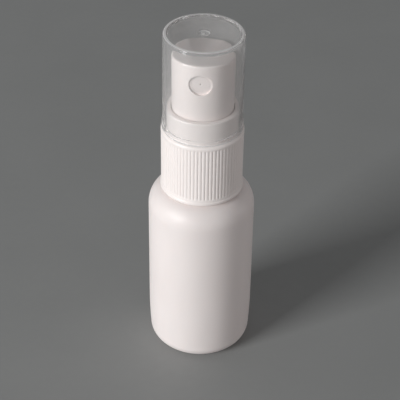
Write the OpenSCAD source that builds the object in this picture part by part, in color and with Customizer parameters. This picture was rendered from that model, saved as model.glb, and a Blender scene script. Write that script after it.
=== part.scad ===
// Fine mist spray bottle: blow moulded bottle, ribbed screw closure, finger pump and clear overcap.
// Origin: centre of the base, on the surface the bottle stands on. +Z up, nozzle towards -Y.

/* [Bottle] */
// Outside diameter of the bottle
bottle_d = 30; // [28:0.5:36]
// Height of the top of the shoulder above the base
shoulder_top = 54.1; // [54.1:0.5:70]
// Radius of the corner between side and base
base_corner = 3.9; // [2:0.1:5]
// Narrowing of the radius at the foot of the side
foot_taper = 0.34; // [0:0.02:0.5]
// Width of the shoulder curve, measured along the radius
shoulder_w = 5.8; // [5:0.1:5.9]
// Height of the shoulder curve
shoulder_h = 6.6; // [4:0.1:8]
// Wall thickness of the bottle
bottle_wall = 0.9; // [0.7:0.1:1.1]
// Rise of the hollow under the base
push_up = 0.8; // [0.4:0.1:1.2]

/* [Neck and thread] */
// Outside diameter of the neck between the threads
neck_d = 17.5; // [17.3:0.1:17.6]
// Inside diameter of the neck
neck_bore_d = 12.6; // [12:0.1:13]
// Height of the neck above the shoulder
neck_h = 14.2; // [14:0.1:14.3]
// Outside diameter over the neck's thread
thread_d = 19.4; // [19.2:0.05:19.5]
// Rise of the thread in one turn
thread_pitch = 3.175; // [3.1:0.025:3.2]
// Turns of thread
thread_turns = 1.5; // [1:0.25:1.5]

/* [Closure] */
// Outside diameter over the ribs
closure_d = 22.9; // [22.6:0.1:23.2]
// Outside diameter of the rim round the closure's lower edge
skirt_rim_d = 23.3; // [23.3:0.1:23.8]
// Height of that rim
skirt_rim_h = 1; // [0.8:0.1:1.2]
// Gap between the shoulder and the closure's lower edge
closure_gap = 0.3; // [0.2:0.1:0.5]
// Height of the skirt, from its lower edge to the ledge
skirt_h = 19.2; // [19:0.1:19.6]
// Number of grip ribs
rib_count = 72; // [48:12:84]
// Height of a rib over the groove beside it
rib_depth = 0.2; // [0.16:0.02:0.34]
// Height from the closure's lower edge to the ribs
lower_band = 1.7; // [1.5:0.1:2.5]
// Height of the plain band over the ribs
upper_band = 1.2; // [1:0.1:2]
// Outside diameter of the tower that the overcap fits over
tower_d = 20.2; // [20.16:0.02:20.24]
// Height of the tower above the ledge
tower_h = 6.7; // [6:0.1:7]

/* [Actuator] */
// Diameter of the actuator at its lower edge
actuator_d = 17.2; // [16.8:0.1:17.2]
// Diameter of the actuator at its top
actuator_top_d = 16.9; // [16.4:0.1:17]
// Height of the actuator's top above the tower
actuator_rise = 16.6; // [15:0.1:17.5]
// Slope of the actuator's top, from its front edge down to its back
top_slope = 5.7; // [4:0.1:6.5]
// Depth of the finger hollow where it runs out at the back
finger_dish = 0.7; // [0.3:0.1:0.8]
// Diameter of the round recess in front of the nozzle
nozzle_recess_d = 6.5; // [5.6:0.1:6.8]
// Depth of that recess
nozzle_recess_depth = 0.8; // [0.7:0.1:1.1]
// Depth of the nozzle's centre below the actuator's top
nozzle_drop = 5.7; // [5.2:0.1:6.2]
// Diameter of the spray hole
spray_hole_d = 0.3; // [0.25:0.05:0.5]

/* [Overcap] */
// Outside diameter of the overcap at its top
cap_top_d = 21.76; // [21.6:0.02:21.8]
// Outside diameter of the overcap above its rim
cap_base_d = 22; // [21.9:0.02:22.1]
// Outside diameter of the thick rim
cap_rim_d = 22.4; // [22.3:0.02:22.5]
// Height of the thick rim
cap_rim_h = 1.7; // [1:0.1:2]
// Height of the overcap
cap_h = 28.4; // [28:0.1:30]
// Wall thickness of the overcap at its top
cap_wall = 1.1; // [1:0.05:1.2]
// Thickness of the overcap's top
cap_roof = 1; // [0.8:0.1:1.2]

/* [Pump] */
// Stroke of the actuator
stroke = 4.5; // [4:0.1:4.5]
// Travel of the stem before it takes the piston with it
lost_motion = 0.5; // [0.4:0.05:0.6]
// Diameter of the pump's cylinder
cylinder_d = 6.4; // [6.3:0.05:6.5]
// Outside diameter of the dip tube
tube_d = 2.9; // [2.7:0.1:3]
// Wall thickness of the dip tube
tube_wall = 0.6; // [0.5:0.05:0.7]
// Diameter of the inlet ball
ball_d = 3; // [2.8:0.1:3]
// Wire diameter of the return spring
spring_wire = 0.5; // [0.4:0.05:0.5]
// Turns of the return spring, with its closed ends
spring_turns = 7; // [6:1:7]

/* [Hidden] */
$fn = 96;
overlap = 0.01;            // joins pieces of one solid that only meet face to face
run_gap = 0.05;            // radial clearance of a running fit, and the gap at a stop
press_gap = 0.02;          // radial clearance that stands for a press fit

// Radii of the bottle and its neck
bottle_r = bottle_d / 2;
foot_r = bottle_r - foot_taper;
foot_h = 14;               // height at which the side reaches its full radius
shoulder_z = shoulder_top - shoulder_h;
neck_r = neck_d / 2;
neck_bore_r = neck_bore_d / 2;
neck_top = shoulder_top + neck_h;
base_ring_w = 1.4;         // width of the flat ring that the bottle stands on
base_slope_w = 1.2;        // width of the slope from that ring up to the hollow
thread_r = thread_d / 2;
thread_root = 1;           // half the width of a thread where it leaves the wall
thread_crest = 0.45;       // half the width of its crest
thread_sink = 0.3;         // how deep a thread is rooted in its wall
thread_steps = 36;         // facets in one turn of thread
neck_thread_z = neck_top - 2.2 - thread_turns * thread_pitch;

// Levels of the closure, and of what it clamps on the neck
skirt_z = shoulder_top + closure_gap;
skirt_rim_r = skirt_rim_d / 2;
ledge_z = skirt_z + skirt_h;
tower_top = ledge_z + tower_h;
gasket_t = 0.9;
flange_t = 1;
chaplet_rim_t = 0.75;
flange_z = neck_top + gasket_t;
chaplet_z = flange_z + flange_t;
web_z = chaplet_z + chaplet_rim_t + run_gap;
web_t = 1.2;
web_top = web_z + web_t;
closure_r = closure_d / 2;
groove_r = closure_r - rib_depth;
crest_drop = 0.04;         // how far the ribs' crests lie under the plain bands
skirt_bore_r = thread_r + 0.25;
seat_bore_r = 9.5;         // bore of the closure round the pump's flange
seat_z = neck_top + 0.3;
web_hole_r = 5;
tower_r = tower_d / 2;
tower_bore_r = actuator_d / 2 + 0.2;
edge_round = 0.9;          // rounding of the closure's upper corner and of the actuator's top
tower_round = 0.45;

// Levels of the pump
cylinder_r = cylinder_d / 2;
housing_r = cylinder_r + 0.8;
flange_r = seat_bore_r - 0.1;
chaplet_end = chaplet_z - 4.2;
piston_h = 4;
piston_top = chaplet_end - run_gap;
piston_z = piston_top - piston_h;
rod_flange_t = 0.7;
rod_flange_top = piston_z - run_gap;
rod_flange_z = rod_flange_top - rod_flange_t;
rod_tip_l = 2.6;
rod_r = 1.2;
stem_r = 1.8;
stem_bore_r = rod_r + press_gap;
stem_z = piston_top + lost_motion + run_gap;
spring_r = 2.35;           // radius of the spring at the middle of its wire
spring_z = rod_flange_z - 8.2;
ball_r = ball_d / 2;
ball_z = spring_z - ball_r;
ball_gap = 0.03;
ball_seat_r = ball_r * cos(45);
ball_seat_z = ball_z - ball_seat_r;
ball_room_r = ball_r + 0.3;
inlet_r = 0.7;
tube_r = tube_d / 2;
tube_top = ball_seat_z - (ball_seat_r - inlet_r) - 1.2;
tube_grip = 5;
tube_foot = push_up + bottle_wall + 0.8;

// Levels of the actuator and its nozzle
actuator_top = tower_top + actuator_rise;
actuator_z = web_top + stroke + 0.2;
actuator_r = actuator_d / 2;
actuator_top_r = actuator_top_d / 2;
actuator_wall = 1.1;
actuator_roof = 1.2;
top_edge_y = edge_round - actuator_top_r;      // where the slope of the top begins
top_drop = (actuator_top_r - top_edge_y) * tan(top_slope);
inner_top = actuator_top - top_drop - finger_dish - actuator_roof;
boss_r = 3;
boss_z = actuator_z + 1.1;
stem_top = boss_z + 9;
nozzle_z = actuator_top - nozzle_drop;
nozzle_block_r = 3.9;
insert_r = 2.3;
insert_l = 3.2;
insert_face_t = 0.8;
post_r = 1.6;
feed_r = 0.35;
nozzle_face_y = -(actuator_r - 0.14 - nozzle_recess_depth);

// Radii of the overcap
cap_z = ledge_z + 0.03;
cap_top = cap_z + cap_h;
cap_bore_r = tower_r + 0.1;
cap_bore_top_r = cap_top_d / 2 - cap_wall;
gate_r = 1.3;
gate_depth = 0.3;

// Points of an elliptical arc about (x, z), from angle a0 to a1
function arc(x, z, rx, rz, a0, a1, steps = 12) =
    [for (i = [0 : steps]) let (a = a0 + (a1 - a0) * i / steps) [x + rx * cos(a), z + rz * sin(a)]];

function reversed(list) = [for (i = [len(list) - 1 : -1 : 0]) list[i]];

module lathe(points) { rotate_extrude() polygon(points); }

module ring(r_in, r_out, z, h) {
    translate([0, 0, z]) difference() {
        cylinder(r = r_out, h = h);
        translate([0, 0, -1]) cylinder(r = r_in, h = h + 2);
    }
}

// A single helical thread that fades in and out at its ends; r0 lies inside the wall that carries it
module thread(r0, r1, z) {
    steps = round(thread_turns * thread_steps);
    fade_steps = 5;
    points = [for (i = [0 : steps])
        let (a = 360 * i / thread_steps, zc = z + thread_pitch * i / thread_steps,
             k = min(1, (i + 0.3) / fade_steps, (steps - i + 0.3) / fade_steps), r = r0 + (r1 - r0) * k)
        each [for (p = [[r0, -thread_root], [r, -thread_crest], [r, thread_crest], [r0, thread_root]])
            [p[0] * cos(a), p[0] * sin(a), zc + p[1]]]];
    sides = [for (i = [0 : steps - 1], j = [0 : 3])
        let (a = 4 * i + j, b = 4 * i + (j + 1) % 4) each [[a, b, a + 4], [b, b + 4, a + 4]]];
    ends = [[0, 2, 1], [0, 3, 2], [4 * steps, 4 * steps + 1, 4 * steps + 2],
        [4 * steps, 4 * steps + 2, 4 * steps + 3]];
    faces = r1 > r0 ? concat(sides, ends) : [for (f = concat(sides, ends)) [f[0], f[2], f[1]]];
    polyhedron(points, faces, convexity = 6);
}

// The skin of the bottle, inset by t; the base's hollow is drawn with it
function side_profile(t) = concat(
    arc(foot_r - base_corner, base_corner, base_corner - t, base_corner - t, -90, 0),
    [[bottle_r - t, foot_h]],
    arc(bottle_r - shoulder_w, shoulder_z, shoulder_w - t, shoulder_h - t, 0, 90, 16));

module bottle() {
    ring_out = foot_r - base_corner;
    ring_in = ring_out - base_ring_w;
    hollow_r = ring_in - base_slope_w;
    outer = concat([[0, push_up], [hollow_r, push_up], [ring_in, 0]], side_profile(0),
        [[neck_r + 0.15, shoulder_top + 0.05], [neck_r, shoulder_top + 0.25]],
        arc(neck_r - 0.4, neck_top - 0.4, 0.4, 0.4, 0, 90, 4));
    inner = concat([[0, push_up + bottle_wall], [hollow_r, push_up + bottle_wall]],
        side_profile(bottle_wall),
        [[neck_bore_r + 1.2, shoulder_top - bottle_wall + 0.1], [neck_bore_r, shoulder_top + 1.4],
         [neck_bore_r, neck_top - 0.3], [neck_bore_r + 0.3, neck_top]]);
    color("whitesmoke") union() {
        lathe(concat(outer, reversed(inner)));
        thread(neck_r - thread_sink, thread_r, neck_thread_z);
        // pinch-off line that the mould leaves under the base
        translate([-5, -0.3, push_up - 0.25]) cube([10, 0.6, 0.25 + overlap]);
    }
}

// Outline of the ribbed part of the skirt: round crests with narrow grooves between them
module rib_outline() {
    steps = 6;
    polygon([for (i = [0 : rib_count * steps - 1])
        let (a = 360 * i / (rib_count * steps),
             r = groove_r + (rib_depth - crest_drop) * pow(sin(180 * (i % steps) / steps), 0.5))
        [r * cos(a), r * sin(a)]]);
}

module closure() {
    rib_z = skirt_z + lower_band;
    rib_top = ledge_z - upper_band;
    bore = concat([[web_hole_r, web_z], [seat_bore_r, web_z], [seat_bore_r, seat_z],
        [skirt_bore_r, seat_z - 0.5], [skirt_bore_r, skirt_z + 0.3], [skirt_bore_r + 0.3, skirt_z]]);
    tower = concat([[groove_r - overlap, rib_top], [closure_r, rib_top]],
        arc(closure_r - edge_round, ledge_z - edge_round, edge_round, edge_round, 0, 90, 8),
        [[tower_r, ledge_z]],
        arc(tower_r - tower_round, tower_top - tower_round, tower_round, tower_round, 0, 90, 6),
        [[tower_bore_r, tower_top], [tower_bore_r, web_top], [web_hole_r, web_top]]);
    skirt = [[skirt_rim_r - 0.2, skirt_z], [skirt_rim_r, skirt_z + 0.2],
        [skirt_rim_r, skirt_z + skirt_rim_h - 0.3], [closure_r, skirt_z + skirt_rim_h],
        [closure_r, rib_z], [groove_r - overlap, rib_z]];
    color("white") {
        union() {
            lathe(concat(bore, skirt, tower));
            translate([0, 0, rib_z]) linear_extrude(rib_top - rib_z) difference() {
                rib_outline();
                circle(r = groove_r - 0.3);
            }
            thread(skirt_bore_r + thread_sink, neck_r + 0.3, neck_thread_z - thread_pitch / 2);
        }
    }
}

module overcap() {
    top_r = cap_top_d / 2;
    base_r = cap_base_d / 2;
    rim_r = cap_rim_d / 2;
    outer = concat([[cap_bore_r + 0.1, cap_z], [rim_r - 0.15, cap_z], [rim_r, cap_z + 0.15],
        [rim_r, cap_z + cap_rim_h - 0.2], [base_r, cap_z + cap_rim_h]],
        arc(top_r - 0.45, cap_top - 0.45, 0.45, 0.45, 0, 90, 6),
        [[gate_r + gate_depth, cap_top], [gate_r, cap_top - gate_depth],
         [0.5, cap_top - gate_depth], [0.4, cap_top - 0.05], [0, cap_top - 0.05]]);
    inner = concat([[0, cap_top - cap_roof]],
        reversed(arc(cap_bore_top_r - 0.5, cap_top - cap_roof - 0.5, 0.5, 0.5, 0, 90, 6)),
        [[cap_bore_r, tower_top + 1], [cap_bore_r, cap_z + 0.15]]);
    color([0.85, 0.9, 0.92, 0.35]) lathe(concat(outer, inner));
}

module gasket() { color("gainsboro") ring(housing_r + 0.1, neck_r + 0.2, neck_top, gasket_t); }

module pump_housing() {
    room_wall_r = ball_room_r + 1;
    tail_r = tube_r + 0.75;
    tail_z = tube_top - tube_grip;
    outer = [[tail_r - 0.2, tail_z], [tail_r, tail_z + 0.2], [tail_r, tube_top],
        [room_wall_r, tube_top + 1], [room_wall_r, spring_z - 0.8], [housing_r, spring_z + 0.4],
        [housing_r, flange_z], [flange_r, flange_z], [flange_r, chaplet_z]];
    inner = [[cylinder_r, chaplet_z], [cylinder_r, spring_z], [ball_room_r, spring_z],
        [ball_room_r, ball_seat_z + ball_room_r - ball_seat_r],
        [inlet_r, ball_seat_z + inlet_r - ball_seat_r], [inlet_r, tube_top],
        [tube_r + press_gap, tube_top], [tube_r + press_gap, tail_z]];
    nib_z = ball_z + 0.6 + 0.85;
    color("white") difference() {
        union() {
            lathe(concat(outer, inner));
            // three nibs that keep the ball in its room
            for (a = [0, 120, 240]) rotate([0, 0, a])
                translate([ball_r - 0.25, -0.3, nib_z]) cube([0.8, 0.6, spring_z - nib_z]);
        }
        // vent hole between the piston's two lips
        translate([0, 0, piston_z + piston_h / 2]) rotate([0, 90, 0]) cylinder(r = 0.25, h = housing_r + 1);
    }
}

// Ring that closes the pump, guides the stem and stops the piston
module chaplet() {
    hub_r = web_hole_r - 0.2;
    bore_r = stem_r + run_gap;
    color("white") lathe([[bore_r, chaplet_end], [cylinder_r - run_gap, chaplet_end],
        [cylinder_r - run_gap, chaplet_z], [flange_r - 1, chaplet_z],
        [flange_r - 1, chaplet_z + chaplet_rim_t], [hub_r, chaplet_z + chaplet_rim_t],
        [hub_r, web_top + 0.2], [hub_r - 0.8, web_top + 0.2],
        [hub_r - 0.8, chaplet_z + 0.6], [bore_r + 1, chaplet_z + 0.6], [bore_r + 1, web_top],
        [bore_r + 0.3, web_top], [bore_r, web_top - 0.3]]);
}

module dip_tube() {
    color("white") difference() {
        ring(tube_r - tube_wall, tube_r, tube_foot, tube_top - tube_foot - press_gap);
        // slanted cut that keeps the tube open on the bottle's floor
        translate([-tube_r, 0, tube_foot]) rotate([0, 45, 0])
            translate([-6, -3, -6]) cube([12, 6, 6]);
    }
}

module inlet_ball() { color("silver") translate([0, 0, ball_z + ball_gap]) sphere(r = ball_r - ball_gap / 2); }

// Wire height after a number of turns: closed turns at both ends, open turns between them
function coil_rise(turn) =
    let (open = spring_turns - 2, span = rod_flange_z - spring_z - spring_wire - 2 * press_gap,
         closed = 2 * spring_wire * 1.02)
    turn < 1 ? turn * closed / 2
    : turn > spring_turns - 1 ? span - (spring_turns - turn) * closed / 2
    : closed / 2 + (turn - 1) * (span - closed) / open;

module return_spring() {
    sides = 8;
    turn_steps = 20;
    wire_r = spring_wire / 2;
    steps = spring_turns * turn_steps;
    points = [for (i = [0 : steps])
        let (a = 360 * i / turn_steps, z = spring_z + wire_r + press_gap + coil_rise(i / turn_steps))
        each [for (j = [0 : sides - 1])
            let (b = 360 * j / sides, r = spring_r + wire_r * cos(b))
            [r * cos(a), r * sin(a), z + wire_r * sin(b)]]];
    walls = [for (i = [0 : steps - 1], j = [0 : sides - 1])
        let (a = sides * i + j, b = sides * i + (j + 1) % sides)
        each [[a, a + sides, b], [b, a + sides, b + sides]]];
    ends = [[for (j = [0 : sides - 1]) j], [for (j = [sides - 1 : -1 : 0]) sides * steps + j]];
    color("silver") polyhedron(points, concat(walls, ends), convexity = 10);
}

// Rod that carries the valve seat under the piston; its grooves lead the liquid up into the stem
module valve_rod() {
    flange_r = 2.75;
    rod_top = stem_z + 3.5;
    groove_z = rod_flange_top + 0.4;
    color("white") difference() {
        union() {
            translate([0, 0, rod_flange_z - rod_tip_l]) cylinder(r1 = 0.9, r2 = 1.5, h = rod_tip_l + overlap);
            translate([0, 0, rod_flange_z]) cylinder(r = flange_r, h = rod_flange_t);
            translate([0, 0, rod_flange_top - overlap]) cylinder(r = rod_r, h = rod_top - rod_flange_top);
        }
        for (a = [0, 90, 180, 270]) rotate([0, 0, a])
            translate([rod_r - 0.35, -0.3, groove_z]) cube([1, 0.6, rod_top]);
    }
}

// Sleeve with a sealing lip at each end
module piston() {
    lip_r = cylinder_r - run_gap;
    waist_r = cylinder_r - 0.5;
    bore_r = rod_r + 0.1;
    color("white") lathe([[bore_r, piston_z], [bore_r + 0.6, piston_z], [waist_r - 0.5, piston_z + 1],
        [lip_r - 0.35, piston_z + 0.1], [lip_r, piston_z + 0.1], [lip_r, piston_z + 0.5],
        [waist_r, piston_z + 1.3], [waist_r, piston_top - 1.3], [lip_r, piston_top - 0.5],
        [lip_r, piston_top - 0.1], [lip_r - 0.35, piston_top - 0.1], [waist_r - 0.5, piston_top - 1],
        [bore_r + 0.6, piston_top], [bore_r, piston_top]]);
}

module stem() {
    color("white") lathe([[stem_bore_r, stem_z], [stem_r, stem_z], [stem_r, stem_top - 0.3],
        [stem_r - 0.3, stem_top - press_gap], [0.8, stem_top - press_gap], [0.8, stem_z + 3.6],
        [stem_bore_r, stem_z + 3.6]]);
}

// What the finger rest takes off the actuator's top: a slope, and a round hollow that deepens to the back
module finger_rest() {
    hollow_r = 20;
    hollow_y = top_edge_y + 1;
    hollow_slope = top_slope + atan(finger_dish / (actuator_top_r - hollow_y));
    translate([0, top_edge_y, actuator_top]) rotate([-top_slope, 0, 0]) {
        translate([-15, -5, 0]) cube([30, 30, 5]);
        translate([0, hollow_y - top_edge_y, 0]) rotate([top_slope - hollow_slope, 0, 0])
            translate([0, 0, hollow_r]) rotate([90, 0, 0]) cylinder(r = hollow_r, h = 60, center = true);
    }
}

module actuator() {
    inner_r = actuator_r - actuator_wall;
    inner_top_r = actuator_top_r - actuator_wall;
    shell = concat([[inner_r, actuator_z], [actuator_r - 0.2, actuator_z], [actuator_r, actuator_z + 0.2]],
        arc(actuator_top_r - edge_round, actuator_top - edge_round, edge_round, edge_round, 0, 90, 8),
        [[0, actuator_top], [0, inner_top], [inner_top_r - 0.5, inner_top], [inner_top_r, inner_top - 0.5]]);
    pocket_y = nozzle_face_y + insert_l;
    color("white") difference() {
        union() {
            lathe(shell);
            translate([0, 0, boss_z]) cylinder(r = boss_r, h = inner_top - boss_z + overlap);
            // block that carries the nozzle, from the boss to the front wall
            intersection() {
                translate([0, 0, nozzle_z]) rotate([90, 0, 0]) cylinder(r = nozzle_block_r, h = actuator_r);
                translate([0, 0, boss_z]) cylinder(r = actuator_top_r - 0.3, h = inner_top - boss_z + overlap);
            }
        }
        finger_rest();
        translate([0, 0, boss_z - 1]) cylinder(r = stem_r + press_gap, h = stem_top - boss_z + 1);
        translate([0, 0, stem_top - overlap]) cylinder(r = 0.8, h = nozzle_z - stem_top - 1.2);
        // round recess, pocket for the insert with its post, and the feed into that pocket
        translate([0, nozzle_face_y, nozzle_z]) rotate([90, 0, 0]) cylinder(r = nozzle_recess_d / 2, h = 5);
        translate([0, nozzle_face_y, nozzle_z]) rotate([-90, 0, 0]) difference() {
            translate([0, 0, -overlap]) cylinder(r = insert_r + press_gap, h = insert_l + overlap);
            translate([0, 0, insert_face_t + press_gap]) cylinder(r = post_r, h = insert_l);
        }
        translate([0, pocket_y - overlap, nozzle_z - (post_r + insert_r) / 2]) rotate([-90, 0, 0])
            cylinder(r = feed_r, h = -pocket_y);
    }
}

// Cup that makes the mist: the grooves swirl the liquid into the spray hole
module nozzle_insert() {
    swirl_r = 0.7;
    swirl_depth = 0.2;
    groove_w = 0.4;
    color("white") translate([0, nozzle_face_y, nozzle_z]) rotate([-90, 0, 0]) difference() {
        cylinder(r = insert_r, h = insert_l - press_gap);
        translate([0, 0, insert_face_t]) cylinder(r = post_r + press_gap, h = insert_l);
        translate([0, 0, insert_face_t - swirl_depth]) cylinder(r = swirl_r, h = insert_l);
        translate([0, 0, -1]) cylinder(d = spray_hole_d, h = insert_l);
        translate([0, 0, -overlap]) cylinder(r1 = 0.35, r2 = spray_hole_d / 2, h = 0.15);
        for (a = [0, 120, 240]) rotate([0, 0, a]) {
            // groove along the wall, then a tangential channel into the swirl chamber
            translate([post_r - 0.2, -groove_w / 2, insert_face_t - swirl_depth])
                cube([0.5, groove_w, insert_l]);
            translate([0, swirl_r - groove_w, insert_face_t - swirl_depth])
                cube([post_r + 0.1, groove_w, swirl_depth + overlap]);
        }
    }
}

bottle();
closure();
overcap();
gasket();
pump_housing();
chaplet();
dip_tube();
inlet_ball();
return_spring();
valve_rod();
piston();
stem();
actuator();
nozzle_insert();
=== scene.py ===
import math
import bmesh
import bpy
from mathutils import Matrix, Vector


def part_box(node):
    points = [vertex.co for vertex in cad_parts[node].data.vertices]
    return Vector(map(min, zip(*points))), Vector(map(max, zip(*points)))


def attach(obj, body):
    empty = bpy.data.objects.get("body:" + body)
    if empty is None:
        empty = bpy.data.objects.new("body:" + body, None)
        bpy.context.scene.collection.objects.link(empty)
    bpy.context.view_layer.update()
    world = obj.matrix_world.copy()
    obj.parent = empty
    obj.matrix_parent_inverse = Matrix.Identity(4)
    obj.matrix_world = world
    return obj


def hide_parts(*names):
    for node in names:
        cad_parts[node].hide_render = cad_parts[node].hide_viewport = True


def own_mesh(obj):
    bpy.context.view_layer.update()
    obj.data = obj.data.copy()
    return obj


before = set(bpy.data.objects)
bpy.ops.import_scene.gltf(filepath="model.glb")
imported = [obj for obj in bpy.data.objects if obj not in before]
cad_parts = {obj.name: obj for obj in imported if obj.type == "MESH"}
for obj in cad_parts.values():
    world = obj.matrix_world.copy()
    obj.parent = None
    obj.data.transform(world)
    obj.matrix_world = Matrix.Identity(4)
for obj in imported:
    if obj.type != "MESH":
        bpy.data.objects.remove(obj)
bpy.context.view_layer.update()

MM = 0.001
TOUCH = 0.001 * MM                # nearer than this counts as the same place
SHARP = math.radians(38)          # edges sharper than this aren't shaded smooth

# ---------------------------------------------------------------- levels and radii from the frame


def level(node):
    """Lowest level, highest level and largest radius of a CAD node that is turned about the Z axis."""
    low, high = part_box(node)
    return low.z, high.z, max(high.x, high.y, -low.x, -low.y)


foot_z, neck_top, bottle_r = level("bottle")
skirt_z, tower_top, skirt_rim_r = level("closure")
cap_z, cap_top, cap_rim_r = level("overcap")
actuator_z, actuator_top, actuator_r = level("actuator")
insert_low, insert_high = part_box("nozzle_insert")
nozzle_z = (insert_low.z + insert_high.z) / 2
nozzle_face_y = insert_low.y
insert_r = (insert_high.z - insert_low.z) / 2

# ---------------------------------------------------------------- outlines


def arc(x, z, rx, rz, start, end, steps):
    """Points of an elliptical arc about (x, z), from one angle in degrees to another."""
    angles = [math.radians(start + (end - start) * i / steps) for i in range(steps + 1)]
    return [(x + rx * math.cos(a), z + rz * math.sin(a)) for a in angles]


def rounded(corners, steps=5):
    """Turns corners (x, z, rounding radius) into points, with an arc where the radius isn't 0.

    The first and the last corner are the open ends of the outline, so their radius is 0.
    """
    points = []
    for i, (x, z, radius) in enumerate(corners):
        here = Vector((x, z))
        if radius == 0:
            points.append((x, z))
            continue
        back = (Vector(corners[i - 1][:2]) - here).normalized()
        ahead = (Vector(corners[i + 1][:2]) - here).normalized()
        half = back.angle(ahead) / 2
        centre = here + (back + ahead).normalized() * radius / math.sin(half)
        first = here + back * radius / math.tan(half) - centre
        last = here + ahead * radius / math.tan(half) - centre
        start = math.atan2(first.y, first.x)
        sweep = math.atan2(last.y, last.x) - start
        sweep = (sweep + math.pi) % (2 * math.pi) - math.pi
        for k in range(steps + 1):
            a = start + sweep * k / steps
            points.append((centre.x + radius * math.cos(a), centre.y + radius * math.sin(a)))
    return points


# ---------------------------------------------------------------- meshes


def add_lathe(mesh, profile, segments, radius_at=None):
    """Turns a profile of (radius, height) points about the Z axis; radius 0 makes a pole.

    A profile that doesn't start and end at a pole is closed. radius_at gives the radius at each angle.
    """
    rings = []
    for r, z in profile:
        if r < TOUCH:
            rings.append([mesh.verts.new((0, 0, z))])
            continue
        ring = []
        for k in range(segments):
            a = 2 * math.pi * k / segments
            rr = radius_at(r, z, a) if radius_at else r
            ring.append(mesh.verts.new((rr * math.cos(a), rr * math.sin(a), z)))
        rings.append(ring)
    pairs = list(zip(rings, rings[1:]))
    if not (len(rings[0]) == 1 and len(rings[-1]) == 1):
        pairs.append((rings[-1], rings[0]))
    for low, high in pairs:
        for k in range(segments):
            n = (k + 1) % segments
            corners = [low[k % len(low)], low[n % len(low)], high[n % len(high)], high[k % len(high)]]
            mesh.faces.new(list(dict.fromkeys(corners)))


def add_thread(mesh, r_root, r_crest, z, pitch, turns, steps=96):
    """Helical thread; r_root lies inside the wall that carries it."""
    half_root = 1.0 * MM
    half_crest = 0.45 * MM
    fade_rate = 8                 # the thread fades in and out over an eighth of a turn
    count = int(round(turns * steps))
    rings = []
    for i in range(count + 1):
        a = 2 * math.pi * i / steps
        fade = min(1.0, (i + 1) * fade_rate / steps, (count - i + 1) * fade_rate / steps)
        r = r_root + (r_crest - r_root) * fade
        zc = z + pitch * i / steps
        section = [(r_root, -half_root), (r, -half_crest), (r, half_crest), (r_root, half_root)]
        rings.append([mesh.verts.new((x * math.cos(a), x * math.sin(a), zc + dz)) for x, dz in section])
    for low, high in zip(rings, rings[1:]):
        for k in range(4):
            n = (k + 1) % 4
            mesh.faces.new((low[k], low[n], high[n], high[k]))
    mesh.faces.new(rings[0][::-1])
    mesh.faces.new(rings[-1])


def finished(mesh, name, sharp=SHARP):
    """Makes an object of a bmesh, shaded smooth except at edges sharper than an angle."""
    bmesh.ops.recalc_face_normals(mesh, faces=mesh.faces)
    data = bpy.data.meshes.new(name)
    mesh.to_mesh(data)
    mesh.free()
    data.shade_smooth()
    data.set_sharp_from_angle(angle=sharp)
    piece = bpy.data.objects.new(name, data)
    bpy.context.scene.collection.objects.link(piece)
    return piece


def combine(piece, tool, operation):
    """Cuts a closed mesh out of a piece (DIFFERENCE) or adds it (UNION), and deletes that mesh."""
    boolean = piece.modifiers.new("combine", "BOOLEAN")
    boolean.object = tool
    boolean.operation = operation
    boolean.solver = "EXACT"
    bake_modifiers(piece)
    bpy.data.objects.remove(tool)


def bake_modifiers(piece):
    """Replaces a piece's mesh by what its modifiers make of it."""
    view_layer = bpy.context.view_layer
    view_layer.update()
    evaluated = piece.evaluated_get(bpy.context.evaluated_depsgraph_get())
    data = bpy.data.meshes.new_from_object(evaluated)
    piece.modifiers.clear()
    piece.data = data


def turned_about_y(name, profile, z, segments=128):
    """Closed solid of (radius, y) points turned about an axis along Y, at height z."""
    mesh = bmesh.new()
    add_lathe(mesh, profile, segments)
    turn = Matrix.Translation((0, 0, z)) @ Matrix.Rotation(math.radians(-90), 4, "X")
    bmesh.ops.transform(mesh, matrix=turn, verts=mesh.verts)
    return finished(mesh, name)


def rod(radius, y0, y1):
    """Profile of a plain cylinder from y0 to y1."""
    return [(0, y0), (radius, y0), (radius, y1), (0, y1)]


# ---------------------------------------------------------------- materials


def shader_tree(name):
    """New material with a Principled shader, and the object's own coordinates."""
    material = bpy.data.materials.new(name)
    material.use_nodes = True
    tree = material.node_tree
    tree.nodes.clear()
    output = tree.nodes.new("ShaderNodeOutputMaterial")
    shader = tree.nodes.new("ShaderNodeBsdfPrincipled")
    tree.links.new(shader.outputs["BSDF"], output.inputs["Surface"])
    where = tree.nodes.new("ShaderNodeTexCoord").outputs["Object"]
    return material, tree, shader, where


def noise(tree, where, scale, detail=3.0, stretch=(1, 1, 1)):
    """Noise over the object's own coordinates; scale is in features per metre."""
    mapping = tree.nodes.new("ShaderNodeMapping")
    mapping.inputs["Scale"].default_value = stretch
    tree.links.new(where, mapping.inputs["Vector"])
    node = tree.nodes.new("ShaderNodeTexNoise")
    node.inputs["Scale"].default_value = scale
    node.inputs["Detail"].default_value = detail
    tree.links.new(mapping.outputs["Vector"], node.inputs["Vector"])
    return node.outputs["Fac"]


def blend_colours(tree, factor, first, second):
    """Goes from the first colour to the second as the factor goes from 0 to 1."""
    mix = tree.nodes.new("ShaderNodeMix")
    mix.data_type = "RGBA"
    mix.inputs["A"].default_value = (*first, 1)
    mix.inputs["B"].default_value = (*second, 1)
    tree.links.new(factor, mix.inputs["Factor"])
    return mix.outputs["Result"]


def spread(tree, factor, low, high):
    """Maps noise, which stays near the middle of its range, onto low..high."""
    node = tree.nodes.new("ShaderNodeMapRange")
    node.inputs["From Min"].default_value = 0.3
    node.inputs["From Max"].default_value = 0.7
    node.inputs["To Min"].default_value = low
    node.inputs["To Max"].default_value = high
    tree.links.new(factor, node.inputs["Value"])
    return node.outputs["Result"]


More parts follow.
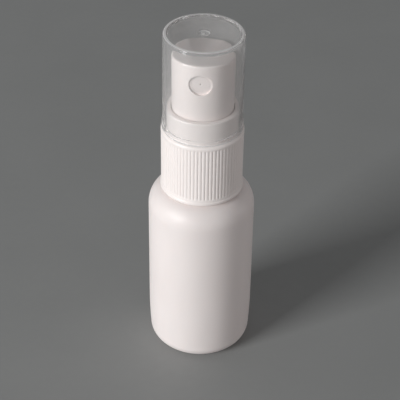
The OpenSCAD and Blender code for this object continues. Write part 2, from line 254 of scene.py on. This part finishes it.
def bump(tree, shader, height, distance):
    """Roughens a shader's surface; distance is the relief for a height of 1."""
    node = tree.nodes.new("ShaderNodeBump")
    node.inputs["Distance"].default_value = distance
    node.inputs["Strength"].default_value = 1.0
    tree.links.new(height, node.inputs["Height"])
    tree.links.new(node.outputs["Normal"], shader.inputs["Normal"])


def moulded_plastic(name, colour, tint, rough, glow, depth=1.2 * MM, texture=2500, relief=0.004 * MM,
                    stretch=(1, 1, 1)):
    """White moulded plastic whose tone wanders between two colours, with a fine grain.

    glow is the share of light that enters it, to about the depth given; texture is the grain's features
    per metre; a stretch below 1 draws the tone out along that axis.
    """
    material, tree, shader, where = shader_tree(name)
    tone = spread(tree, noise(tree, where, scale=90, detail=2.0, stretch=stretch), 0, 1)
    tree.links.new(blend_colours(tree, tone, colour, tint), shader.inputs["Base Color"])
    grain = noise(tree, where, scale=texture, detail=4.0)
    polish = noise(tree, where, scale=420, detail=5.0, stretch=stretch)
    tree.links.new(spread(tree, polish, *rough), shader.inputs["Roughness"])
    bump(tree, shader, grain, relief)
    shader.inputs["Subsurface Weight"].default_value = glow
    shader.inputs["Subsurface Radius"].default_value = (1.0, 0.9, 0.85)
    shader.inputs["Subsurface Scale"].default_value = depth
    shader.inputs["IOR"].default_value = 1.5
    return material


def clear_plastic(name, clearness, rough, shade, colour=(0.995, 0.988, 0.984), tint=(0.98, 0.972, 0.968)):
    """Clear plastic that bends what is seen through it.

    clearness is the share that isn't haze. Shadow and diffuse rays go straight through instead, and shade
    is what is left of them.
    """
    material, tree, shader, where = shader_tree(name)
    shader.inputs["Transmission Weight"].default_value = clearness
    shader.inputs["IOR"].default_value = 1.49
    tone = spread(tree, noise(tree, where, scale=120, detail=2.0), 0, 1)
    tree.links.new(blend_colours(tree, tone, colour, tint), shader.inputs["Base Color"])
    polish = noise(tree, where, scale=500, detail=5.0)
    tree.links.new(spread(tree, polish, *rough), shader.inputs["Roughness"])
    through = tree.nodes.new("ShaderNodeBsdfTransparent")
    through.inputs["Color"].default_value = (shade, shade, shade, 1)
    path = tree.nodes.new("ShaderNodeLightPath")
    surface = shader.outputs["BSDF"]
    for ray in ("Is Diffuse Ray", "Is Shadow Ray"):
        mix = tree.nodes.new("ShaderNodeMixShader")
        tree.links.new(path.outputs[ray], mix.inputs["Fac"])
        tree.links.new(surface, mix.inputs[1])
        tree.links.new(through.outputs["BSDF"], mix.inputs[2])
        surface = mix.outputs["Shader"]
    tree.links.new(surface, tree.get_output_node("ALL").inputs["Surface"])
    return material


def steel(name, colour, rough, scratches):
    """Drawn or polished stainless steel; scratches is its fine marks' features per metre."""
    material, tree, shader, where = shader_tree(name)
    shader.inputs["Metallic"].default_value = 1.0
    marks = noise(tree, where, scale=scratches, detail=6.0, stretch=(1, 1, 6))
    dark = tuple(c * 0.82 for c in colour)
    tree.links.new(blend_colours(tree, spread(tree, marks, 0, 1), colour, dark), shader.inputs["Base Color"])
    tree.links.new(spread(tree, marks, rough * 0.7, rough * 1.5), shader.inputs["Roughness"])
    bump(tree, shader, marks, 0.001 * MM)
    return material


def foam(name):
    """Soft foam liner with fine cells."""
    material, tree, shader, where = shader_tree(name)
    cells = tree.nodes.new("ShaderNodeTexVoronoi")
    cells.inputs["Scale"].default_value = 3500
    tree.links.new(where, cells.inputs["Vector"])
    tree.links.new(blend_colours(tree, cells.outputs["Distance"], (0.7, 0.7, 0.68), (0.86, 0.86, 0.84)),
                   shader.inputs["Base Color"])
    tree.links.new(spread(tree, noise(tree, where, scale=900, detail=3.0), 0.7, 0.9),
                   shader.inputs["Roughness"])
    bump(tree, shader, cells.outputs["Distance"], 0.03 * MM)
    return material


BOTTLE_WHITE = moulded_plastic(
    "bottle_polyethylene", colour=(0.91, 0.833, 0.812), tint=(0.88, 0.803, 0.782), rough=(0.38, 0.52),
    glow=0.3, depth=1.6 * MM, texture=1500, relief=0.01 * MM, stretch=(1, 1, 0.35))
CLOSURE_WHITE = moulded_plastic(
    "closure_polypropylene", colour=(0.96, 0.893, 0.868), tint=(0.94, 0.873, 0.848), rough=(0.3, 0.42),
    glow=0.1)
ACTUATOR_WHITE = moulded_plastic(
    "actuator_polypropylene", colour=(0.955, 0.87, 0.845), tint=(0.935, 0.85, 0.825), rough=(0.3, 0.4),
    glow=0.25)
PUMP_NATURAL = moulded_plastic(
    "pump_polypropylene", colour=(0.8, 0.8, 0.78), tint=(0.77, 0.77, 0.75), rough=(0.25, 0.38), glow=0.5)
PISTON_SOFT = moulded_plastic(
    "piston_polyethylene", colour=(0.78, 0.79, 0.78), tint=(0.75, 0.76, 0.75), rough=(0.4, 0.55), glow=0.5)
TUBE_NATURAL = moulded_plastic(
    "tube_polyethylene", colour=(0.8, 0.82, 0.81), tint=(0.78, 0.8, 0.79), rough=(0.3, 0.42),
    glow=0.6, depth=1.0 * MM, texture=1800, relief=0.004 * MM, stretch=(1, 1, 0.05))
POLISHED = (0.02, 0.09)           # roughness of the overcap's clear faces
CLEAR_WALL = clear_plastic("overcap_outside", clearness=0.87, rough=POLISHED, shade=0.93)
CLEAR_INSIDE = clear_plastic("overcap_clear", clearness=0.95, rough=POLISHED, shade=0.94)
CLEAR_EDGE = clear_plastic("overcap_edge", clearness=0.25, rough=(0.4, 0.55), shade=0.85,
                           colour=(0.93, 0.92, 0.915), tint=(0.9, 0.89, 0.885))
CLEAR_GATE = clear_plastic("overcap_gate", clearness=0.78, rough=(0.35, 0.5), shade=0.9)
WIRE = steel("spring_wire", colour=(0.62, 0.62, 0.63), rough=0.22, scratches=1500)
BALL = steel("ball_steel", colour=(0.75, 0.75, 0.76), rough=0.08, scratches=600)
FOAM = foam("gasket_foam")


def dress(piece, material):
    """Makes a material the piece's only one."""
    piece.data.materials.clear()
    piece.data.materials.append(material)


def place(piece, body, node, material):
    """Gives a piece its material and body, and lets it stand for a CAD node."""
    dress(piece, material)
    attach(piece, body)
    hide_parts(node)


# ---------------------------------------------------------------- bottle

BOTTLE_SEGMENTS = 192
SHOULDER_W = 5.8 * MM             # the shoulder is a quarter of an ellipse
SHOULDER_H = 6.6 * MM
NECK_H = 14.2 * MM
BASE_CORNER = 3.9 * MM            # rounding between the base and the side
FOOT_TAPER = 0.34 * MM            # how much narrower the bottle is at its foot
FOOT_H = 14 * MM                  # where the taper ends
BOTTLE_WALL = 0.9 * MM
PUSH_UP = 0.8 * MM                # depth of the hollow under the base
STANDING_RING_W = 1.4 * MM
PUSH_UP_SLOPE_W = 1.2 * MM        # from the standing ring to the hollow's flat middle
NECK_R = 8.75 * MM
NECK_BORE_R = 6.3 * MM
THREAD_R = 9.7 * MM
THREAD_PITCH = 3.175 * MM
THREAD_TURNS = 1.5
THREAD_SINK = 0.3 * MM            # how deep a thread's root lies in its wall
NECK_PLAIN_H = 2.2 * MM           # from the thread's upper end to the neck's top
shoulder_top = neck_top - NECK_H
shoulder_z = shoulder_top - SHOULDER_H
neck_thread_z = neck_top - NECK_PLAIN_H - THREAD_TURNS * THREAD_PITCH


def side(inset):
    """The bottle's skin from the base corner to the end of the shoulder, inset by a distance."""
    foot_r = bottle_r - FOOT_TAPER
    corner = BASE_CORNER - inset
    taper_steps = 8
    taper = []
    for i in range(1, taper_steps + 1):
        t = i / taper_steps
        taper.append((foot_r - inset + FOOT_TAPER * math.sin(t * math.pi / 2),
                      BASE_CORNER + (FOOT_H - BASE_CORNER) * t))
    return (arc(foot_r - BASE_CORNER, BASE_CORNER, corner, corner, -90, 0, 14) + taper
            + arc(bottle_r - SHOULDER_W, shoulder_z, SHOULDER_W - inset, SHOULDER_H - inset, 0, 90, 24))


def build_bottle():
    ring_out = bottle_r - FOOT_TAPER - BASE_CORNER
    ring_in = ring_out - STANDING_RING_W
    hollow = ring_in - PUSH_UP_SLOPE_W
    base = rounded([(0, PUSH_UP, 0), (hollow, PUSH_UP, 0.8 * MM), (ring_in, 0, 0.5 * MM), (ring_out, 0, 0)])
    neck = rounded([(bottle_r - SHOULDER_W, shoulder_top, 0),
                    (NECK_R + 0.15 * MM, shoulder_top + 0.05 * MM, 0.1 * MM),
                    (NECK_R, shoulder_top + 0.25 * MM, 0), (NECK_R, neck_top, 0.4 * MM),
                    (NECK_BORE_R, neck_top, 0.3 * MM),
                    (NECK_BORE_R, shoulder_top + 1.4 * MM, 1.0 * MM),
                    (NECK_BORE_R + 1.2 * MM, shoulder_top - 0.8 * MM, 0.6 * MM),
                    (bottle_r - SHOULDER_W, shoulder_top - BOTTLE_WALL, 0)])
    floor = [(hollow, PUSH_UP + BOTTLE_WALL), (0, PUSH_UP + BOTTLE_WALL)]
    profile = base[:-1] + side(0)[:-1] + neck[:-1] + side(BOTTLE_WALL)[::-1] + floor
    mesh = bmesh.new()
    add_lathe(mesh, profile, BOTTLE_SEGMENTS)
    add_thread(mesh, NECK_R - THREAD_SINK, THREAD_R, neck_thread_z, THREAD_PITCH, THREAD_TURNS)
    add_pinch_line(mesh)
    place(finished(mesh, "bottle_moulding"), "bottle", "bottle", BOTTLE_WHITE)


def add_pinch_line(mesh):
    """Ridge that the mould leaves under the base."""
    length = 10 * MM
    width = 0.6 * MM
    height = 0.25 * MM
    sink = 0.04 * MM              # how deep the ridge starts in the base
    made = bmesh.ops.create_cube(mesh, size=1.0)
    size = Matrix.Diagonal((length, width, height + sink, 1))
    move = Matrix.Translation((0, 0, PUSH_UP - height / 2 + sink / 2))
    bmesh.ops.transform(mesh, matrix=move @ size, verts=made["verts"])
    edges = list({e for v in made["verts"] for e in v.link_edges})
    bmesh.ops.bevel(mesh, geom=edges, offset=0.1 * MM, segments=3, affect="EDGES", profile=0.5)


# ---------------------------------------------------------------- closure

RIBS = 72
RIB_STEPS = 12
RIB_DEPTH = 0.2 * MM
CREST_DROP = 0.04 * MM            # how far the ribs' crests lie under the plain bands
RIB_RUN_OUT = 0.45 * MM           # height over which the ribs fade into the plain bands
LOWER_BAND = 1.7 * MM
UPPER_BAND = 1.2 * MM
SKIRT_H = 19.2 * MM
CLOSURE_R = 11.45 * MM
SKIRT_RIM_H = 1.0 * MM
TOWER_R = 10.1 * MM
TOWER_BORE_R = 8.8 * MM
SKIRT_BORE_R = THREAD_R + 0.25 * MM
SKIRT_THREAD_R = NECK_R + 0.3 * MM
SEAT_BORE_R = 9.5 * MM
WEB_HOLE_R = 5.0 * MM
WEB_GAP = 2.7 * MM                # room for the pump's flange and gasket over the neck
WEB = 1.2 * MM
ledge_z = skirt_z + SKIRT_H
web_z = neck_top + WEB_GAP
web_top = web_z + WEB
rib_low = skirt_z + LOWER_BAND
rib_high = ledge_z - UPPER_BAND


def rib_radius(r, z, angle):
    """Radius of the closure at an angle: its ribbed band has grooves between round ribs."""
    if r < CLOSURE_R - TOUCH or not rib_low <= z <= rib_high:
        return r
    end = min(z - rib_low, rib_high - z) / RIB_RUN_OUT
    depth = math.sin(min(1.0, end) * math.pi / 2)
    phase = (angle * RIBS / (2 * math.pi)) % 1.0
    crest = math.sin(math.pi * phase) ** 0.5
    return r - depth * (CREST_DROP + (RIB_DEPTH - CREST_DROP) * (1 - crest))


def build_closure():
    end_steps = [0, 0.08, 0.16, 0.24, 0.32, 0.4, 0.5]        # mm, closer together where the ribs run out
    middle_steps = 8
    rib_levels = ([rib_low + s * MM for s in end_steps]
                  + [rib_low + (rib_high - rib_low) * k / middle_steps for k in range(1, middle_steps)]
                  + [rib_high - s * MM for s in reversed(end_steps)])
    rim_top = skirt_z + SKIRT_RIM_H
    mouth = 0.3 * MM
    skirt = rounded([(SKIRT_BORE_R + mouth, skirt_z, 0), (skirt_rim_r, skirt_z, 0.25 * MM),
                     (skirt_rim_r, rim_top - 0.25 * MM, 0.25 * MM), (CLOSURE_R, rim_top, 0.3 * MM),
                     (CLOSURE_R, rib_low, 0)])
    ribbed = [(CLOSURE_R, z) for z in rib_levels[1:]]
    tower = rounded([(CLOSURE_R, rib_high, 0), (CLOSURE_R, ledge_z, 0.9 * MM), (TOWER_R, ledge_z, 0.12 * MM),
                     (TOWER_R, tower_top, 0.45 * MM), (TOWER_BORE_R, tower_top, 0.15 * MM),
                     (TOWER_BORE_R, web_top, 0.2 * MM), (WEB_HOLE_R, web_top, 0.15 * MM),
                     (WEB_HOLE_R, web_z, 0.15 * MM), (SEAT_BORE_R, web_z, 0.2 * MM),
                     (SEAT_BORE_R, neck_top + 0.3 * MM, 0), (SKIRT_BORE_R, neck_top - 0.2 * MM, 0),
                     (SKIRT_BORE_R, skirt_z + mouth, 0)], steps=6)
    mesh = bmesh.new()
    add_lathe(mesh, skirt + ribbed + tower[1:], RIBS * RIB_STEPS, rib_radius)
    add_thread(mesh, SKIRT_BORE_R + THREAD_SINK, SKIRT_THREAD_R, neck_thread_z - THREAD_PITCH / 2,
               THREAD_PITCH, THREAD_TURNS)
    piece = finished(mesh, "ribbed_closure", sharp=math.radians(50))
    place(piece, "closure", "closure", CLOSURE_WHITE)


# ---------------------------------------------------------------- overcap

CAP_SEGMENTS = 192
CAP_TOP_R = 10.88 * MM
CAP_BASE_R = 11.0 * MM
CAP_RIM_H = 1.7 * MM
CAP_WALL = 1.1 * MM
CAP_ROOF = 1.0 * MM
CAP_GAP = 0.1 * MM                # between the tower and the cap
EDGE_R = 9.95 * MM                # inside of the lighter ring round the top
GATE_R = 1.3 * MM
GATE_DEPTH = 0.3 * MM
NUB_R = 0.4 * MM                  # what the sprue leaves in the gate's recess
NUB_FOOT_R = 0.55 * MM
NUB_DROP = 0.05 * MM              # how far the nub lies under the cap's top


def cap_look(face, bore_r, roof_z):
    """Material of a face of the overcap, by where the face lies."""
    x, y, z = face.center
    face_r = math.hypot(x, y)
    if z > roof_z - 0.5 * MM and face_r < GATE_R + GATE_DEPTH:
        return CLEAR_GATE
    ring = face.normal.z > 0.8 and z > cap_top - 0.5 * MM and face_r > EDGE_R
    rim = z < cap_z + 0.3 * MM
    if ring or rim:
        return CLEAR_EDGE
    inside = face_r < bore_r + 0.3 * MM
    return CLEAR_INSIDE if inside else CLEAR_WALL


def build_overcap():
    bore_r = TOWER_R + CAP_GAP
    bore_top_r = CAP_TOP_R - CAP_WALL
    roof_z = cap_top - CAP_ROOF
    profile = rounded([
        (0, roof_z, 0), (bore_top_r, roof_z, 0.5 * MM), (bore_r, tower_top + 1 * MM, 0),
        (bore_r, cap_z + 0.1 * MM, 0), (bore_r + 0.1 * MM, cap_z, 0), (cap_rim_r, cap_z, 0.15 * MM),
        (cap_rim_r, cap_z + CAP_RIM_H - 0.15 * MM, 0.12 * MM), (CAP_BASE_R, cap_z + CAP_RIM_H, 0.08 * MM),
        (CAP_TOP_R, cap_top, 0.45 * MM), (EDGE_R, cap_top, 0), (GATE_R + GATE_DEPTH, cap_top, 0.15 * MM),
        (GATE_R, cap_top - GATE_DEPTH, 0.15 * MM), (NUB_FOOT_R, cap_top - GATE_DEPTH, 0.08 * MM),
        (NUB_R, cap_top - NUB_DROP, 0.08 * MM), (0, cap_top - NUB_DROP, 0)], steps=6)
    mesh = bmesh.new()
    add_lathe(mesh, profile, CAP_SEGMENTS)
    piece = finished(mesh, "clear_overcap")
    place(piece, "overcap", "overcap", CLEAR_WALL)
    looks = [CLEAR_WALL, CLEAR_INSIDE, CLEAR_EDGE, CLEAR_GATE]
    for look in looks[1:]:
        piece.data.materials.append(look)
    for face in piece.data.polygons:
        face.material_index = looks.index(cap_look(face, bore_r, roof_z))


# ---------------------------------------------------------------- actuator and nozzle

ACTUATOR_SEGMENTS = 192
ACTUATOR_TOP_R = 8.45 * MM
ACTUATOR_WALL = 1.1 * MM
ACTUATOR_ROOF = 1.2 * MM
TOP_EDGE = 0.9 * MM               # the finger rest starts this far in from the top's edge
TOP_ROUNDING = 0.5 * MM
TOP_SLOPE = math.tan(math.radians(5.7))       # of the whole finger rest, down to the back
REST_REACH = 5 * MM               # how far down the outer wall still follows the finger rest
FINGER_DISH = 0.7 * MM            # depth of the finger rest's hollow at the back
HOLLOW_INSET = 1 * MM             # from the start of the finger rest to the start of its hollow
HOLLOW_R = 20 * MM                # the hollow's curvature from side to side
RECESS_R = 3.05 * MM
BLOCK_R = 3.9 * MM                # solid round the nozzle insert
POST_R = 1.6 * MM                 # post inside the cup of the nozzle insert
INSERT_L = 3.2 * MM
INSERT_FACE = 0.8 * MM
INSERT_GAP = 0.03 * MM
STEM_R = 1.8 * MM
STEM_GAP = 0.02 * MM
BOSS_R = 3.0 * MM                 # boss that holds the stem
BOSS_RAISE = 1.1 * MM             # from the actuator's lower edge to the boss
STEM_GRIP = 9 * MM                # length of the stem in the boss


def finger_rest(x, y):
    """How far the top lies under its front edge: a slope, and a hollow that deepens to the back."""
    start = TOP_EDGE - ACTUATOR_TOP_R
    slope = max(0.0, y - start) * TOP_SLOPE
    hollow_start = start + HOLLOW_INSET
    hollow = FINGER_DISH * (y - hollow_start) / (ACTUATOR_TOP_R - hollow_start) - x * x / (2 * HOLLOW_R)
    soft = 0.1 * MM               # how gently the hollow sets in
    return slope + (hollow + math.sqrt(hollow * hollow + soft * soft)) / 2 - soft / 8


def add_finger_rest(mesh):
    """Lowers the actuator's top to its finger rest, and the outer wall under it less and less."""
    base = actuator_top - REST_REACH
    for vert in mesh.verts:
        x, y, z = vert.co
        outside = math.hypot(x, y) > ACTUATOR_TOP_R - ACTUATOR_WALL + 0.05 * MM
        if z > base and (outside or z > actuator_top - 0.01 * MM):
            vert.co.z = z - finger_rest(x, y) * (z - base) / (actuator_top - base)


def actuator_shell():
    """The button before its nozzle is cut: top with finger rest, thin wall, boss for the stem."""
    drop = (2 * ACTUATOR_TOP_R - TOP_EDGE) * TOP_SLOPE
    inner_top = actuator_top - drop - FINGER_DISH - ACTUATOR_ROOF
    inner_r = actuator_r - ACTUATOR_WALL
    inner_top_r = ACTUATOR_TOP_R - ACTUATOR_WALL
    boss_z = actuator_z + BOSS_RAISE
    stem_top = boss_z + STEM_GRIP
    stem_bore_r = STEM_R + STEM_GAP
    profile = rounded([
        (stem_bore_r, stem_top, 0), (stem_bore_r, boss_z, 0.2 * MM), (BOSS_R, boss_z, 0.2 * MM),
        (BOSS_R, inner_top, 0.3 * MM), (inner_top_r, inner_top, 0.5 * MM), (inner_r, actuator_z, 0.1 * MM),
        (actuator_r, actuator_z, 0.2 * MM), (ACTUATOR_TOP_R, actuator_top, TOP_ROUNDING),
        (0, actuator_top, 0)], steps=8)
    flat_r = ACTUATOR_TOP_R - TOP_EDGE
    top_rings = 24
    top = [(flat_r * (1 - i / top_rings), actuator_top) for i in range(1, top_rings + 1)]
    mesh = bmesh.new()
    add_lathe(mesh, [(0, stem_top)] + profile[:-1] + top, ACTUATOR_SEGMENTS)
    wall_cuts = 9                 # extra rings in the wall, so that it can follow the finger rest
    for i in range(1, wall_cuts + 1):
        cut_z = actuator_top - TOP_EDGE - i * 0.5 * MM
        bmesh.ops.bisect_plane(mesh, geom=mesh.verts[:] + mesh.edges[:] + mesh.faces[:],
                               plane_co=(0, 0, cut_z), plane_no=(0, 0, 1))
    add_finger_rest(mesh)
    return finished(mesh, "mist_actuator")


def cut_recess(piece):
    """Round recess in the actuator's front, with a soft edge."""
    recess = turned_about_y("recess", rod(RECESS_R, -actuator_r - 2 * MM, nozzle_face_y), nozzle_z)
    combine(piece, recess, "DIFFERENCE")
    soften = piece.modifiers.new("recess_edge", "BEVEL")
    soften.width = 0.32 * MM
    soften.segments = 6
    soften.limit_method = "ANGLE"
    soften.angle_limit = math.radians(50)
    bake_modifiers(piece)


def add_insert_seat(piece):
    """Block behind the recess, with the ring-shaped pocket that the nozzle insert sits in."""
    block = turned_about_y("nozzle_block", rod(BLOCK_R, 1 * MM - ACTUATOR_TOP_R, -BOSS_R / 2), nozzle_z)
    combine(piece, block, "UNION")
    pocket_r = insert_r + INSERT_GAP
    post_y = nozzle_face_y + INSERT_FACE + INSERT_GAP
    pocket_y = nozzle_face_y + INSERT_L + INSERT_GAP
    pocket = [(0, nozzle_face_y - 1 * MM), (pocket_r, nozzle_face_y - 1 * MM), (pocket_r, pocket_y),
              (POST_R, pocket_y), (POST_R, post_y), (0, post_y)]
    combine(piece, turned_about_y("insert_pocket", pocket, nozzle_z), "DIFFERENCE")


def build_actuator():
    piece = actuator_shell()
    cut_recess(piece)
    add_insert_seat(piece)
    piece.data.set_sharp_from_angle(angle=SHARP)
    even = piece.modifiers.new("even_normals", "WEIGHTED_NORMAL")
    even.keep_sharp = True
    bake_modifiers(piece)
    place(piece, "actuator", "actuator", ACTUATOR_WHITE)


# ---------------------------------------------------------------- return spring

SPRING_TURNS = 7                  # the first and the last are closed
WIRE_R = 0.25 * MM
COIL_STEPS = 48                   # in one turn
WIRE_SIDES = 12


def build_spring():
    """Wire coil under the valve rod, which in the real pump shortens as the actuator is pressed; built here
    at rest.
    """
    low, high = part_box("return_spring")
    coil_r = high.x - WIRE_R
    span = high.z - low.z - 2 * WIRE_R
    closed_rise = 1.02 * WIRE_R * 2       # a closed turn all but touches the next
    open_rise = (span - 2 * closed_rise) / (SPRING_TURNS - 2)
    rings = []
    mesh = bmesh.new()
    for i in range(SPRING_TURNS * COIL_STEPS + 1):
        turn = i / COIL_STEPS
        rise = (closed_rise * (min(turn, 1) + max(0, turn - SPRING_TURNS + 1))
                + open_rise * min(max(turn - 1, 0), SPRING_TURNS - 2))
        a = 2 * math.pi * turn
        ring = []
        for k in range(WIRE_SIDES):
            b = 2 * math.pi * k / WIRE_SIDES
            r = coil_r + WIRE_R * math.cos(b)
            ring.append(mesh.verts.new((r * math.cos(a), r * math.sin(a),
                                        low.z + WIRE_R + rise + WIRE_R * math.sin(b))))
        rings.append(ring)
    for near, far in zip(rings, rings[1:]):
        for k in range(WIRE_SIDES):
            n = (k + 1) % WIRE_SIDES
            mesh.faces.new((near[k], near[n], far[n], far[k]))
    mesh.faces.new(rings[0][::-1])
    mesh.faces.new(rings[-1])
    piece = finished(mesh, "return_coil")
    place(piece, "pump", "return_spring", WIRE)
    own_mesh(piece)


build_bottle()
build_closure()
build_overcap()
build_actuator()
build_spring()

# ---------------------------------------------------------------- CAD parts that keep their shape

KEPT = {"gasket": FOAM, "pump_housing": PUMP_NATURAL, "chaplet": PUMP_NATURAL, "dip_tube": TUBE_NATURAL,
        "inlet_ball": BALL, "valve_rod": PUMP_NATURAL, "piston": PISTON_SOFT, "stem": PUMP_NATURAL,
        "nozzle_insert": ACTUATOR_WHITE}
for node, material in KEPT.items():
    dress(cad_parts[node], material)

# ---------------------------------------------------------------- floor, light and camera

PITCH = math.radians(36.45)       # how far the camera looks down
ROLL = math.radians(0.87)
TURN = math.radians(5)            # how far the camera stands to the nozzle's right
DISTANCE = 375.2 * MM
SENSOR_W = 36
LENS = 119.2
AIM_Z = 50 * MM                   # point on the bottle's axis that the aim is measured from
AIM_SIDE = -0.39 * MM
AIM_UP = -1.6 * MM
WARM = (1, 0.91, 0.9)             # colour of the two weak lamps


def build_floor():
    mesh = bmesh.new()
    bmesh.ops.create_grid(mesh, x_segments=4, y_segments=4, size=1.5)
    floor = finished(mesh, "floor")
    material, tree, shader, where = shader_tree("floor_paper")
    tone = spread(tree, noise(tree, where, scale=25, detail=2.0), 0, 1)
    tree.links.new(blend_colours(tree, tone, (0.322, 0.328, 0.325), (0.307, 0.313, 0.31)),
                   shader.inputs["Base Color"])
    tree.links.new(spread(tree, noise(tree, where, scale=300, detail=4.0), 0.55, 0.75),
                   shader.inputs["Roughness"])
    dress(floor, material)


def add_area(name, direction, elevation, distance, width, height, power, colour=(1, 1, 1)):
    """Soft lamp that looks at the bottle's middle; direction is its bearing, in degrees from the camera."""
    data = bpy.data.lights.new(name, "AREA")
    data.shape = "RECTANGLE"
    data.size = width
    data.size_y = height
    data.energy = power
    data.color = colour
    lamp = bpy.data.objects.new(name, data)
    bpy.context.scene.collection.objects.link(lamp)
    bearing = math.radians(-90 + direction) + TURN
    rise = math.radians(elevation)
    toward = Vector((math.cos(bearing) * math.cos(rise), math.sin(bearing) * math.cos(rise), math.sin(rise)))
    middle = Vector((0, 0, (foot_z + cap_top) / 2))
    lamp.location = middle + toward * distance
    lamp.rotation_euler = toward.to_track_quat("Z", "Y").to_euler()


def build_lights():
    world = bpy.data.worlds.new("soft_room")
    world.use_nodes = True
    background = world.node_tree.nodes["Background"]
    background.inputs["Color"].default_value = (0.98, 0.99, 1.0, 1)
    background.inputs["Strength"].default_value = 0.2
    bpy.context.scene.world = world
    add_area("key", direction=-53, elevation=17, distance=2.2, width=0.8, height=0.8, power=42.5)
    add_area("fill", direction=20, elevation=8, distance=1.4, width=0.9, height=0.6, power=0.75, colour=WARM)
    add_area("low", direction=90, elevation=6, distance=1.4, width=0.5, height=0.4, power=2.05, colour=WARM)


def build_camera():
    data = bpy.data.cameras.new("camera")
    data.sensor_width = SENSOR_W
    data.lens = LENS
    data.clip_start = 0.01
    camera = bpy.data.objects.new("camera", data)
    bpy.context.scene.collection.objects.link(camera)
    right = Vector((1, 0, 0))
    up = Vector((0, math.sin(PITCH), math.cos(PITCH)))
    back = Vector((0, -math.cos(PITCH), math.sin(PITCH)))
    aim = Vector((0, 0, AIM_Z)) + right * AIM_SIDE + up * AIM_UP
    axes = Matrix((right, up, back)).transposed()
    pose = Matrix.Translation(aim + back * DISTANCE) @ axes.to_4x4() @ Matrix.Rotation(ROLL, 4, "Z")
    camera.matrix_world = Matrix.Rotation(TURN, 4, "Z") @ pose
    bpy.context.scene.camera = camera


build_floor()
build_lights()
build_camera()
cycles = bpy.context.scene.cycles        # light runs a long way round inside the overcap's wall
cycles.max_bounces = 32
cycles.glossy_bounces = 24
cycles.transmission_bounces = 24
bpy.context.scene.view_settings.view_transform = "Standard"
